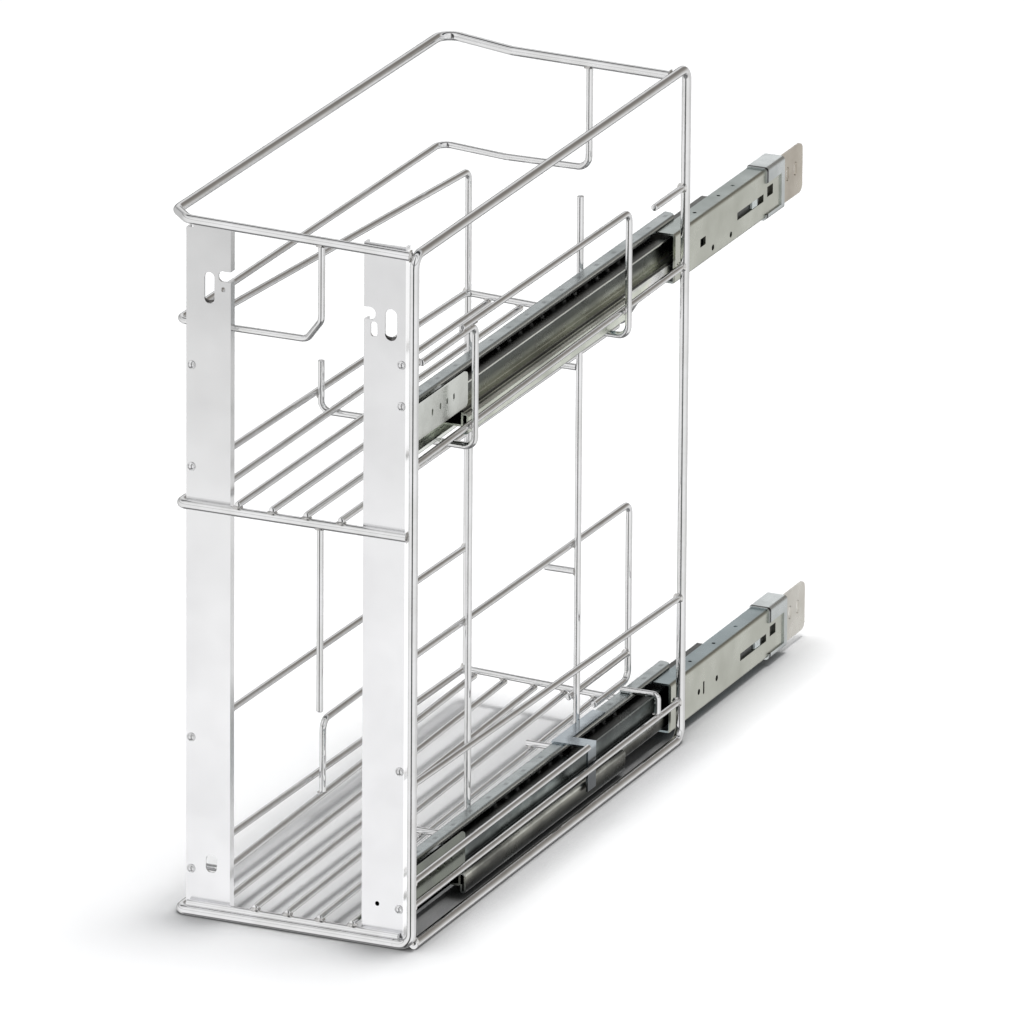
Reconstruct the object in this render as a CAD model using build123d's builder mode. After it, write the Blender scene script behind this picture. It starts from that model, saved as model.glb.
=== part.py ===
from build123d import *
import os

os.makedirs("parts", exist_ok=True)

# Two-tier pull-out bottle rack for a narrow base cabinet, millimetres.
# Working frame: x from the left side to the right side, y from the door side
# to the back, z up, with the corner of the wire frame at zero.

# Overall size of the wire frame, between wire centres
WIDTH = 194.0
DEPTH = 493.0
TOP_Z = 529.0
BASE_Z = -1.5

# Wire sizes
FRAME_R = 3.5
WIRE_R = 2.5
WELD = 0.1
STEP_UP = 2 * WIRE_R - WELD

# Stored frame: centre of the overall box in x and y, lowest point in z
MID_X = 96.2
MID_Y = 374.75
LOW_Z = -5.0

# Front strips
STRIP_Y = 3.5
STRIP_DEPTH = 7.0
STRIP_T = 1.5
STRIP_LOW = -1.0
LEFT_STRIP_TOP = 525.1
RIGHT_STRIP_TOP = 533.5
LEFT_STRIP_TAB = (16.5, 46.5)
LEFT_TAB_TOP = 533.0
LEFT_STRIP = (11.0, 46.5)
RIGHT_STRIP = (152.5, 186.0)
BEHIND_STRIP = STRIP_Y + STRIP_DEPTH + WIRE_R - WELD

# Shelf levels
SHELF_FRONT_Z = 313.5
ROD_Z = SHELF_FRONT_Z + FRAME_R + WIRE_R - WELD
EDGE_FRONT_Z = 331.0
EDGE_Z = 321.5
FLOOR_FRONT_Z = BASE_Z + FRAME_R + WIRE_R - 0.02
FLOOR_ROD_Z = FLOOR_FRONT_Z + STEP_UP
FLOOR_EDGE_FRONT_Z = 29.5
FLOOR_EDGE_Z = 21.2
UPPER_RODS = [27.0, 54.5, 82.0, 109.5, 137.0]
LOWER_RODS = [17.0, 43.0, 69.0, 95.0, 121.0, 147.0]

# Left side and back
LEFT_X = 9.0
BACK_Y = 508.0
BACK_END_Y = 494.0
BACK_POST_Y = 511.0
TUCK_X = 42.0
TOP_WIRE_Z = 528.5

# Right side wires and hoops
RIGHT_X = 193.0
HOOP_X = RIGHT_X + STEP_UP
POST_GAP = FRAME_R - 0.2

# Slides: rack channel, middle member and cabinet rail stand side by side
UPPER_SLIDE_Z = 378.0
LOWER_SLIDE_Z = 21.0
SHEET = 1.5
CHANNEL_X = 160.0
CHANNEL_DEPTH = 11.5
CHANNEL_HALF = 22.5
CHANNEL_LIP = 4.0
CHANNEL_Y = (30.0, 530.0)
CHANNEL_END_R = 8.0
MIDDLE_X = (163.0, 182.6)
MIDDLE_HALF = 15.5
MIDDLE_STEP_X = 176.0
MIDDLE_STEP_Z = -2.0
MIDDLE_TOP_X = 180.4
MIDDLE_Y = (113.0, 596.0)
SKIRT_X = 187.0
SKIRT_Z = (-21.0, -5.0)
SKIRT_Y = (113.0, 406.0)
FIXED_X = 187.2
FIXED_HALF = 19.5
FIXED_DEPTH = 15.0
FIXED_T = 2.0
FIXED_FRONT = 491.0
FIXED_END = {"upper": 695.0, "lower": 710.0}
BALL_OUTER_R = 2.7
BALL_INNER_R = 1.22
RETAINER_T = 0.8
HANGER_X = CHANNEL_X - WIRE_R + WELD
HANGER_YS = (181.0, 381.0)
RISER_X = 142.5
GUARD_X = HANGER_X - STEP_UP


def at(x, y, z):
    return (x - MID_X, y - MID_Y, z - LOW_Z)


def bent_wire(points, radius=WIRE_R, bend=8.0, closed=False):
    places = [at(*p) for p in points]
    with BuildLine() as path:
        if len(places) == 2:
            Line(places[0], places[1])
        else:
            FilletPolyline(*places, radius=bend, close=closed)
    with BuildSketch(Plane(origin=path.line @ 0, z_dir=path.line % 0)) as disc:
        Circle(radius)
    sweep(disc.sketch, path=path.line)


def block(x, y, z, mode=Mode.ADD):
    low = at(x[0], y[0], z[0])
    with Locations(low):
        Box(x[1] - x[0], y[1] - y[0], z[1] - z[0], align=(Align.MIN,) * 3, mode=mode)


def slot_through(x, z, width, height):
    plane = Plane(origin=at(x, -10, z), x_dir=(1, 0, 0), z_dir=(0, 1, 0))
    with BuildSketch(plane) as outline:
        SlotOverall(height, width, rotation=90)
    extrude(outline.sketch, amount=30, mode=Mode.SUBTRACT)


def side_hole(y, z, radius, x=FIXED_X - 5):
    with BuildSketch(Plane(origin=at(x, y, z), x_dir=(0, 1, 0), z_dir=(1, 0, 0))) as outline:
        Circle(radius)
    extrude(outline.sketch, amount=10, mode=Mode.SUBTRACT)


def side_slot(y, z, length, height, x=FIXED_X - 5, turn=0):
    with BuildSketch(Plane(origin=at(x, y, z), x_dir=(0, 1, 0), z_dir=(1, 0, 0))) as outline:
        SlotOverall(length, height, rotation=turn)
    extrude(outline.sketch, amount=10, mode=Mode.SUBTRACT)


# Long folded profile: corners are (x, height above the slide's level, bend radius)
def folded(corners, level, y):
    with BuildSketch(Plane(origin=at(0, y[1], level), x_dir=(1, 0, 0), z_dir=(0, -1, 0))) as section:
        with BuildLine():
            Polyline(*[(x, z) for x, z, r in corners], close=True)
        make_face()
        for x, z, r in corners:
            if r:
                fillet(section.vertices().sort_by_distance((x, z))[0], r)
    extrude(section.sketch, amount=y[1] - y[0])


def back_line(x):
    return BACK_Y - (x - LEFT_X) * (BACK_Y - BACK_END_Y) / (HANGER_X - LEFT_X)


def upper_rod_z(y):
    return ROD_Z + (EDGE_Z - STEP_UP - ROD_Z) * y / BACK_Y


def lower_rod_z(y):
    return FLOOR_ROD_Z + (FLOOR_EDGE_Z - STEP_UP - FLOOR_ROD_Z) * y / BACK_Y


def save(piece, name):
    piece.label = name
    export_step(piece, "parts/" + name + ".step")


# Right side frame: one thick wire. Its foot turns in from the bottom front wire, then it makes the
# front post, top rail, back post and bottom rail, which is welded behind the foot
FOOT_X = 180.0
with BuildPart() as right_side_frame:
    bent_wire([(FOOT_X, 0, BASE_Z), (WIDTH, 0, BASE_Z), (WIDTH, 0, TOP_Z), (WIDTH, DEPTH, TOP_Z),
               (WIDTH, DEPTH, BASE_Z), (WIDTH, FRAME_R - WELD, BASE_Z)], FRAME_R, 10.0)
save(right_side_frame.part, "right_side_frame")

# Top wire: front, rising a little to the left, left side and the bowed back, both ends welded
# to the right frame
with BuildPart() as top_wire:
    bent_wire([(190.7, 0, TOP_WIRE_Z), (14, 0, TOP_WIRE_Z + 4), (-4.5, 21, TOP_WIRE_Z + 2.5), (-4.5, 495, TOP_WIRE_Z),
               (60, 476, TOP_WIRE_Z), (190.7, 470, TOP_WIRE_Z)], FRAME_R, 12.0)
save(top_wire.part, "top_wire")

# Bottom front wire, its left end turned back
with BuildPart() as bottom_front_wire:
    bent_wire([(6.6, 16, BASE_Z), (6.6, 0, BASE_Z), (FOOT_X + WELD, 0, BASE_Z)], FRAME_R, 6.0)
save(bottom_front_wire.part, "bottom_front_wire")

# Front wire of the upper shelf, in front of both strips
with BuildPart() as shelf_front_wire:
    bent_wire([(7.2, 13, SHELF_FRONT_Z), (7.2, 0, SHELF_FRONT_Z), (189, 0, SHELF_FRONT_Z)], FRAME_R, 5.5)
save(shelf_front_wire.part, "shelf_front_wire")


# Front strips: folded flat bars that the cabinet door is hooked to
def strip_body(edges, top):
    block(edges, (STRIP_Y, STRIP_Y + STRIP_DEPTH), (STRIP_LOW, top))
    inner = (edges[0] + STRIP_T, edges[1] - STRIP_T)
    back = (STRIP_Y + STRIP_T, STRIP_Y + STRIP_DEPTH)
    block(inner, back, (STRIP_LOW, top), Mode.SUBTRACT)


with BuildPart() as left_strip:
    strip_body(LEFT_STRIP, LEFT_STRIP_TOP)
    block(LEFT_STRIP_TAB, (STRIP_Y, STRIP_Y + STRIP_T), (LEFT_STRIP_TOP - 5, LEFT_TAB_TOP))
    slot_through(29.5, 481, 8, 24)
    block((40.6, 48), (0, 14), (487, 495), Mode.SUBTRACT)
    slot_through(40.6, 491, 8, 8.2)
    slot_through(40.5, 481, 3.4, 3.7)
    slot_through(31.5, 36, 9, 14)
save(left_strip.part, "left_strip")

with BuildPart() as right_strip:
    strip_body(RIGHT_STRIP, RIGHT_STRIP_TOP)
    slot_through(174, 473, 9.5, 24)
    block((152, 157), (0, 14), (475, 484.5), Mode.SUBTRACT)
    slot_through(157, 479.75, 9.5, 9.7)
    slot_through(160.5, 468, 5.5, 11.5)
    slot_through(165, 26, 3.4, 3.6)
save(right_strip.part, "right_strip")

# Weld buttons that hold the side wires to the strips
with BuildPart() as strip_buttons:
    for x, heights in ((15.0, (420, 342, 132.5, 30)), (182.3, (443.5, 412, 131, 24))):
        for z in heights:
            with Locations(at(x, STRIP_Y, z)):
                Cylinder(3.4, 1.0, rotation=(90, 0, 0), align=(Align.CENTER, Align.CENTER, Align.MIN))
save(strip_buttons.part, "strip_buttons")

# Upper left guard: drops from the front top wire, runs round the left side and the back
with BuildPart() as upper_left_guard:
    top = TOP_WIRE_Z - FRAME_R + WELD
    bent_wire([(120.5, 0, top + 1.6), (120.5, 0, 470), (103, BEHIND_STRIP, 449.5), (-0.5, BEHIND_STRIP, 449.5),
               (-0.5, 481, 446.5), (57, 471, 446.5), (124, 473, 446.5), (124, 473, top)], WIRE_R, 9.0)
save(upper_left_guard.part, "upper_left_guard")

# Sloping keeper wire and the back left upright, one wire
with BuildPart() as keeper_wire:
    bent_wire([(TUCK_X, BEHIND_STRIP, 444), (LEFT_X, BEHIND_STRIP, 444), (LEFT_X, BACK_POST_Y, 417),
               (LEFT_X, BACK_POST_Y, 16)], WIRE_R, 8.0)
save(keeper_wire.part, "keeper_wire")

# Edge wire of the upper shelf: left side, back, and the slanted riser on the upper channel
with BuildPart() as upper_shelf_edge:
    bent_wire([(TUCK_X, BEHIND_STRIP, EDGE_FRONT_Z), (LEFT_X, BEHIND_STRIP, EDGE_FRONT_Z),
               (LEFT_X, BACK_Y, EDGE_Z), (RISER_X, back_line(RISER_X), EDGE_Z),
               (HANGER_X, BACK_END_Y, EDGE_Z + 24), (HANGER_X, BACK_END_Y, UPPER_SLIDE_Z + 8)], WIRE_R, 6.0)
save(upper_shelf_edge.part, "upper_shelf_edge")

# Rods of the upper shelf, lying on the front wire and under the back wire
for i, x in enumerate(UPPER_RODS):
    front = -1.0 if x > LEFT_STRIP[1] else BEHIND_STRIP - WIRE_R
    end = back_line(x) + 2
    with BuildPart() as rod:
        bent_wire([(x, front, upper_rod_z(front)), (x, end, upper_rod_z(end))])
    save(rod.part, "upper_rod_" + str(i + 1))

# Cross support with its upright end, under the upper rods
with BuildPart() as cross_support:
    y = 234.0
    x = LEFT_X + STEP_UP
    z = upper_rod_z(y) - STEP_UP
    bent_wire([(x, y, 352), (x, y, z), (UPPER_RODS[2] + 4, y, z)])
save(cross_support.part, "cross_support")

# Stop wire hanging from the shelf front
with BuildPart() as front_stop_wire:
    bent_wire([(120, 0, SHELF_FRONT_Z - FRAME_R + WELD), (120, 0, 170)])
save(front_stop_wire.part, "front_stop_wire")

# Lower left rail
with BuildPart() as lower_left_rail:
    bent_wire([(TUCK_X, BEHIND_STRIP, 127.5), (LEFT_X, BEHIND_STRIP, 127.5),
               (LEFT_X, BACK_POST_Y - WIRE_R + WELD, 118)])
save(lower_left_rail.part, "lower_left_rail")

# Edge wire of the lower floor: left side and back, ending on the lower channel
with BuildPart() as lower_floor_edge:
    bent_wire([(TUCK_X, BEHIND_STRIP, FLOOR_EDGE_FRONT_Z), (LEFT_X, BEHIND_STRIP, FLOOR_EDGE_FRONT_Z),
               (LEFT_X, BACK_Y, FLOOR_EDGE_Z), (CHANNEL_X + WELD, BACK_END_Y, FLOOR_EDGE_Z)], WIRE_R, 6.0)
save(lower_floor_edge.part, "lower_floor_edge")

# Thin wire on top of the bottom front wire, which the lower rods lie on
with BuildPart() as lower_front_wire:
    bent_wire([(14, 0, FLOOR_FRONT_Z), (184, 0, FLOOR_FRONT_Z)])
save(lower_front_wire.part, "lower_front_wire")

# Rods of the lower floor, rising slightly to the back
for i, x in enumerate(LOWER_RODS):
    front = -1.0 if x > LEFT_STRIP[1] else BEHIND_STRIP - WIRE_R
    end = back_line(x) + 2
    with BuildPart() as rod:
        bent_wire([(x, front, lower_rod_z(front)), (x, end, lower_rod_z(end))])
    save(rod.part, "lower_rod_" + str(i + 1))

# Low hoop standing on the left rod
with BuildPart() as divider_hoop:
    foot = WIRE_R - 2 * WELD
    bent_wire([(17, 232, lower_rod_z(232) + foot), (17, 232, 71), (17, 352, 71), (17, 352, lower_rod_z(352) + foot)])
save(divider_hoop.part, "divider_hoop")

# Rails of the right side, welded between the two posts
RAIL_END = DEPTH - POST_GAP
for name, z0, z1, start, end in (("under_slide_rail", 368.5, 373.5, POST_GAP, RAIL_END),
                                 ("lower_guard_rail", 122.5, 111.0, POST_GAP, RAIL_END),
                                 ("low_rail_short", 46.5, 46.5, POST_GAP, 322.0),
                                 ("low_rail_long", 28.0, 28.0, POST_GAP, RAIL_END),
                                 ("post_stub", 435.5, 435.5, 437.0, RAIL_END)):
    with BuildPart() as rail:
        bent_wire([(RIGHT_X, start, z0), (RIGHT_X, end, z1)])
    save(rail.part, name)

# Hoops that pass outside the upper slide and turn in under it
HOOP_LOW = UPPER_SLIDE_Z - CHANNEL_HALF - WIRE_R + WELD
HOOP_Z = 447.5
with BuildPart() as front_hoop:
    bent_wire([(HOOP_X, 4.5, HOOP_Z), (HOOP_X, 100, HOOP_Z), (HOOP_X, 100, HOOP_LOW), (150, 100, HOOP_LOW)])
save(front_hoop.part, "front_hoop")

with BuildPart() as rear_hoop:
    bent_wire([(HOOP_X, 76, HOOP_Z + STEP_UP), (HOOP_X, 379, HOOP_Z + STEP_UP - 2), (HOOP_X, 379, HOOP_LOW),
               (161, 379, HOOP_LOW)])
save(rear_hoop.part, "rear_hoop")

# Hangers between the two slide channels
for i, y in enumerate(HANGER_YS):
    high = 420 if i == 0 else 456
    with BuildPart() as hanger:
        bent_wire([(HANGER_X, y, 4), (HANGER_X, y, high)])
    save(hanger.part, "hanger_" + ("front", "rear")[i])

# Guard rail of the lower tier along the hangers, with its rear leg
with BuildPart() as inner_guard:
    bent_wire([(GUARD_X, BEHIND_STRIP - WIRE_R, 187.5), (GUARD_X, 488, 181), (GUARD_X, 488, 41),
               (GUARD_X, 425, 41)])
save(inner_guard.part, "inner_guard")

# Short rail between the rear hanger and the leg of the inner guard
with BuildPart() as guard_link:
    bent_wire([(GUARD_X, 377, 62.5), (GUARD_X, 488 - 2 * WIRE_R + WELD, 62.5)])
save(guard_link.part, "guard_link")

# Short peg on the rear hanger
with BuildPart() as hanger_peg:
    bent_wire([(HANGER_X - WIRE_R + WELD, HANGER_YS[1], 161.5), (HANGER_X - 26, HANGER_YS[1], 161.5)])
save(hanger_peg.part, "hanger_peg")

# Ties from the hangers to the nearest rods of each tier
with BuildPart() as rod_ties:
    for y in HANGER_YS:
        end = HANGER_X - WIRE_R + WELD
        high = upper_rod_z(y) + STEP_UP
        low = lower_rod_z(y) + STEP_UP
        bent_wire([(106, y, high), (end, y, high)])
        bent_wire([(117, y, low), (end, y, low)])
save(rod_ties.part, "rod_ties")


# Channel of a slide, open to the right, lips folded in over the ball track, the rear
# corners of both flanges rounded
def channel(level):
    x0, x1, h = CHANNEL_X, CHANNEL_X + CHANNEL_DEPTH, CHANNEL_HALF
    lip = h - CHANNEL_LIP
    folded([(x0, -h, 2.2), (x1, -h, 2.2), (x1, -lip, 0), (x1 - SHEET, -lip, 0), (x1 - SHEET, SHEET - h, 0.7),
            (x0 + SHEET, SHEET - h, 0.7), (x0 + SHEET, h - SHEET, 0.7), (x1 - SHEET, h - SHEET, 0.7),
            (x1 - SHEET, lip, 0), (x1, lip, 0), (x1, h, 2.2), (x0, h, 2.2)], level, CHANNEL_Y)
    for low in (level - h - 0.5, level + lip - 0.5):
        centre = at(x1 - CHANNEL_END_R, CHANNEL_Y[1] - CHANNEL_END_R, low)
        with BuildSketch(Plane(origin=centre)) as corner:
            Rectangle(CHANNEL_END_R, CHANNEL_END_R, align=(Align.MIN, Align.MIN))
            Circle(CHANNEL_END_R, mode=Mode.SUBTRACT)
        extrude(corner.sketch, amount=CHANNEL_LIP + 1, mode=Mode.SUBTRACT)
    for y in (56, 72, 88, 440, 470):
        side_slot(y, level + 4, 7, 4, CHANNEL_X - 4, 90)


# Middle member: open to the left, its right wall stepped back in the upper half. In front of
# the cabinet rail its foot stands out in a hollow rib that is flush with the rail.
def middle(level):
    x0, x1, h = MIDDLE_X[0], MIDDLE_X[1], MIDDLE_HALF
    xs, zs, xt, t = MIDDLE_STEP_X, MIDDLE_STEP_Z, MIDDLE_TOP_X, SHEET
    folded([(x0, -h, 0), (x1, -h, 2.0), (x1, zs, 1.4), (xs + t, zs, 0.6), (xs + t, h - t, 0.6),
            (xt, h - t, 0), (xt, h, 0.7), (x0, h, 0), (x0, h - t, 0), (xs, h - t, 0.6), (xs, zs - t, 0.6),
            (x1 - t, zs - t, 0.5), (x1 - t, t - h, 0.6), (x0, t - h, 0)], level, MIDDLE_Y)
    low, high = SKIRT_Z
    folded([(x1 - 0.1, low, 2.0), (SKIRT_X, low, 2.4), (SKIRT_X, high, 2.4), (x1 - 0.1, high, 0),
            (x1 - 0.1, high - t, 0), (SKIRT_X - t, high - t, 0.9), (SKIRT_X - t, low + t, 0.9),
            (x1 - 0.1 + t, low + t, 0.5), (x1 - 0.1 + t, -h + 1.5, 0), (x1 - 0.1, -h + 1.5, 0)], level, SKIRT_Y)


# Cabinet rail: web to the right, flanges folded to the left round the middle member
def fixed(side, level):
    x0, x1, h = FIXED_X - FIXED_DEPTH, FIXED_X, FIXED_HALF
    xi, end = FIXED_X - FIXED_T, FIXED_END[side]
    folded([(x0, -h, 0), (x1, -h, 2.6), (x1, h, 2.6), (x0, h, 0), (x0, h - SHEET, 0),
            (xi, h - SHEET, 0.9), (xi, SHEET - h, 0.9), (x0, SHEET - h, 0)], level, (FIXED_FRONT, end))
    block((FIXED_X - 5, FIXED_X + 2), (end - 87, end - 37), (level - 4.5, level + 1.5), Mode.SUBTRACT)
    block((FIXED_X - 5, FIXED_X + 2), (end - 30, end - 19), (level - 3, level + 5), Mode.SUBTRACT)
    for y, z in SCREW_PLACES[side]:
        side_hole(y, level + z, SCREW_R)
    if side == "upper":
        block((FIXED_X - 5, FIXED_X + 2), (538, 548), (level - 5, level + 1.5), Mode.SUBTRACT)
    else:
        block((FIXED_X - 5, FIXED_X + 2), (552, 554.5), (level - 8, level + 2), Mode.SUBTRACT)
    for y in (526, 545, 590, end - 78):
        with Locations(at(FIXED_X - 8, y, level + h)):
            Cylinder(1.5, 6, mode=Mode.SUBTRACT)


SCREW_R = 2.3
SCREW_PLACES = {"upper": ((562.0, -12.0), (596.0, -12.0)), "lower": ((544.0, -3.5), (578.0, -3.5))}


# Ball retainer: thin folded strip with two rows of round windows, and its balls
def ball_row(x_web, x_edge, level, half, start, length, ball_x, ball_r):
    t = RETAINER_T
    y = (start, start + length)
    xs = (min(x_web, x_edge), max(x_web, x_edge))
    block(xs, y, (level - half - t / 2, level + half + t / 2))
    inner = (x_web + t, x_edge) if x_edge > x_web else (x_edge, x_web - t)
    block(inner, y, (level - half + t / 2, level + half - t / 2), Mode.SUBTRACT)
    count = int((length - 8) // 20) + 1
    first = start + (length - 20 * (count - 1)) / 2
    places = [at(ball_x, first + 20 * k, level + s * half) for k in range(count) for s in (-1, 1)]
    with Locations(*places):
        Cylinder(ball_r + 0.07, 3, mode=Mode.SUBTRACT)
    return places


for side, level in (("upper", UPPER_SLIDE_Z), ("lower", LOWER_SLIDE_Z)):
    with BuildPart() as rack_channel:
        channel(level)
    save(rack_channel.part, side + "_channel")

    with BuildPart() as middle_member:
        middle(level)
    save(middle_member.part, side + "_middle_member")

    with BuildPart() as cabinet_rail:
        fixed(side, level)
    save(cabinet_rail.part, side + "_cabinet_rail")

    # Retainers and balls: inner stage between middle member and rail, outer stage in the channel
    inner_half = (MIDDLE_HALF + FIXED_HALF - SHEET) / 2
    outer_half = (MIDDLE_HALF + CHANNEL_HALF - SHEET) / 2
    for stage, x_web, x_edge, half, start, length, ball_x, ball_r in (
            ("inner", 184.3, 175.0, inner_half, 520.0, 38.0, 178.5, BALL_INNER_R),
            ("outer", 161.85, 169.0, outer_half, 200.0, 240.0, 166.0, BALL_OUTER_R)):
        with BuildPart() as ball_train:
            spots = ball_row(x_web, x_edge, level, half, start, length, ball_x, ball_r)
            with Locations(*spots):
                Sphere(ball_r)
        save(ball_train.part, side + "_" + stage + "_ball_train")

    # Front bracket: foot on the right strip, leg on the channel, slotted plate over the front end
    with BuildPart() as front_bracket:
        block((153.5, 185.5), (10.45, 12), (level - 18, level + 28))
        block((158.5, CHANNEL_X + 0.01), (10.45, 64), (level - 18, level + 21))
        block((184.0, 185.5), (10.45, 115), (level + 1, level + 28))
        end_corners = front_bracket.edges().filter_by(Axis.X).group_by(Axis.Y)[-1]
        fillet(end_corners, 4)
        for y in (52, 66, 78, 90):
            side_slot(y, level + 15, 6, 2.6, 180, 90)
    save(front_bracket.part, side + "_front_bracket")

    # Rear clip: folded over the rail's top and round its end, with a long foot below
    end = FIXED_END[side]
    with BuildPart() as rear_clip:
        h = FIXED_HALF + 0.03
        folded([(171.9, -h - 1.2, 0), (FIXED_X + 1.2, -h - 1.2, 3.0), (FIXED_X + 1.2, h + 1.2, 3.0),
                (171.9, h + 1.2, 0), (171.9, h, 0), (FIXED_X + 0.03, h, 2.5), (FIXED_X + 0.03, -h, 2.5),
                (171.9, -h, 0)], level, (end - 34, end + 1))
        block((FIXED_X - 1, 190), (end - 36, end - 5), (level - 16, level + 9), Mode.SUBTRACT)
    save(rear_clip.part, side + "_rear_clip")

    # Rear mounting plate with two upright slots
    with BuildPart() as rear_plate:
        plate = (FIXED_X - FIXED_T - 2.1, FIXED_X - FIXED_T - 0.1)
        block(plate, (end - 40, end + 43), (level - 16.5, level + 16.5))
        block(plate, (end + 2, end + 43), (level - 19.5, level + 19.5))
        corners = rear_plate.edges().filter_by(Axis.X).group_by(Axis.Y)[-1]
        fillet(corners, 6)
        for y in (end + 14, end + 29):
            side_slot(y, level + 2, 11, 5, 180, 90)
    save(rear_plate.part, side + "_rear_plate")

    # Catch of the closing damper: flat body behind the long slot, and the nub seen in the slot
    with BuildPart() as damper_catch:
        inner = FIXED_X - FIXED_T - 0.1
        block((inner - 1.9, inner), (end - 92, end - 41), (level - 9, level + 6))
        block((inner - 0.1, inner + 1.8), (end - 58, end - 48), (level - 4.2, level + 1.2))
    save(damper_catch.part, side + "_damper_catch")

# Rear tie of the lower slide: short wire on the channel, bent down to the long low rail
TIE_Z = LOWER_SLIDE_Z + CHANNEL_HALF + WIRE_R - WELD
with BuildPart() as lower_rear_tie:
    bent_wire([(163, 452, TIE_Z), (RIGHT_X, 452, TIE_Z), (RIGHT_X, 452, 28 + WIRE_R - WELD)], WIRE_R, 4.0)
save(lower_rear_tie.part, "lower_rear_tie")

# Middle bracket of the lower slide
with BuildPart() as middle_bracket:
    top = LOWER_SLIDE_Z + CHANNEL_HALF
    block((162, 190.52), (328, 343), (top, top + 1.5))
    block((160.5, 171), (328, 404), (top, top + 1.5))
    block((189.0, 190.52), (328, 343), (LOWER_SLIDE_Z - 12, top + 1.5))
save(middle_bracket.part, "lower_middle_bracket")
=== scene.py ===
import math

import bmesh
import bpy
from mathutils import Matrix, Vector


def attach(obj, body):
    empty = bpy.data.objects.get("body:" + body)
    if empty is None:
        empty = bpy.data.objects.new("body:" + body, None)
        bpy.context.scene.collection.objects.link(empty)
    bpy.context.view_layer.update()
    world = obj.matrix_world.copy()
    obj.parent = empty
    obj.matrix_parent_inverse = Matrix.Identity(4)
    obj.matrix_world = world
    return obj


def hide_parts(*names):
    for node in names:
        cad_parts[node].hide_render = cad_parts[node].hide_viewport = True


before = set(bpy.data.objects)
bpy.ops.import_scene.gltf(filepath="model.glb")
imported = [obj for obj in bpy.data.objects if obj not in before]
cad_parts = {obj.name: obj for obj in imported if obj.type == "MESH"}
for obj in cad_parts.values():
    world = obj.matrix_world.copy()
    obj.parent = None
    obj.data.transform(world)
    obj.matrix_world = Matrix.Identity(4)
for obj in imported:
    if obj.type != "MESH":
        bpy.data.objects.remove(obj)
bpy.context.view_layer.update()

# ---------------------------------------------------------------------------
# Camera: a very long lens far to the front right, a little above the rack, so
# that its wires run almost parallel in the picture.

EYE = Vector((5.16958, -11.68101, 4.65489))
FOCAL_LENGTH, SENSOR_WIDTH = 637.12, 36.0
TURN, TILT, ROLL = math.radians(23.83), math.radians(19.20), math.radians(0.389)
ahead = Vector((-math.sin(TURN) * math.cos(TILT), math.cos(TURN) * math.cos(TILT),
                -math.sin(TILT)))
level_side = Vector((math.cos(TURN), math.sin(TURN), 0.0))
level_up = level_side.cross(ahead)
sideways = level_side * math.cos(ROLL) + level_up * math.sin(ROLL)
upward = level_up * math.cos(ROLL) - level_side * math.sin(ROLL)

lens = bpy.data.cameras.new("long_lens")
lens.lens, lens.sensor_width, lens.sensor_fit = FOCAL_LENGTH, SENSOR_WIDTH, "AUTO"
lens.clip_start, lens.clip_end = 0.5, 60.0
camera = bpy.data.objects.new("long_lens", lens)
camera.matrix_world = Matrix((sideways, upward, -ahead)).transposed().to_4x4()
camera.matrix_world.translation = EYE
bpy.context.scene.collection.objects.link(camera)
bpy.context.scene.camera = camera
bpy.context.scene.view_settings.view_transform = "Standard"

# ---------------------------------------------------------------------------
# Light tent: pale cloth all round the rack, which the plated wires mirror. It
# is open towards the lens, darker behind the rack, and has thin dark seams.


def add_node(tree, kind, **settings):
    node = tree.nodes.new(kind)
    for key, value in settings.items():
        setattr(node, key, value)
    return node


def math_node(tree, operation, first, second=None, third=None, clamp=False):
    node = add_node(tree, "ShaderNodeMath", operation=operation, use_clamp=clamp)
    for socket, value in zip(node.inputs, (first, second, third)):
        if value is None:
            continue
        if isinstance(value, (int, float)):
            socket.default_value = value
        else:
            tree.links.new(value, socket)
    return node.outputs[0]


def ramp_node(tree, factor, stops, mode="LINEAR"):
    """Tones by a factor from 0 to 1. stops are (place, grey or colour), low to high."""
    node = add_node(tree, "ShaderNodeValToRGB")
    node.color_ramp.interpolation = mode
    marks = node.color_ramp.elements
    while len(marks) > 1:
        marks.remove(marks[-1])
    marks[0].position = stops[0][0]
    for k, (place, tone) in enumerate(stops):
        mark = marks[0] if k == 0 else marks.new(place)
        colour = tone if isinstance(tone, tuple) else (tone, tone, tone)
        mark.color = colour + (1.0,)
    tree.links.new(factor, node.inputs[0])
    return node.outputs[0]


def mix_node(tree, factor, first, second, blend="MIX"):
    node = add_node(tree, "ShaderNodeMix", data_type="RGBA", blend_type=blend)
    sockets = node.inputs[0], node.inputs[6], node.inputs[7]
    for socket, value in zip(sockets, (factor, first, second)):
        if isinstance(value, (int, float)):
            socket.default_value = value
        elif isinstance(value, tuple):
            socket.default_value = value + (1.0,)
        else:
            tree.links.new(value, socket)
    return node.outputs[2]


def turns_of(tree, first, second):
    """The angle of a direction in turns, 0 to 1, with 0.5 along the second part."""
    angle = math_node(tree, "ARCTAN2", first, second)
    return math_node(tree, "MULTIPLY_ADD", angle, 0.5 / math.pi, 0.5)


def shader_mix(tree, factor, first, second):
    node = add_node(tree, "ShaderNodeMixShader")
    for socket, value in zip(node.inputs, (factor, first, second)):
        tree.links.new(value, socket)
    return node.outputs[0]


world = bpy.data.worlds.new("light_tent")
bpy.context.scene.world = world
world.use_nodes = True
tent = world.node_tree
tent.nodes.clear()
split = add_node(tent, "ShaderNodeSeparateXYZ")
tent.links.new(add_node(tent, "ShaderNodeTexCoord").outputs["Generated"], split.inputs[0])
way_x, way_y, way_z = split.outputs

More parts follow.
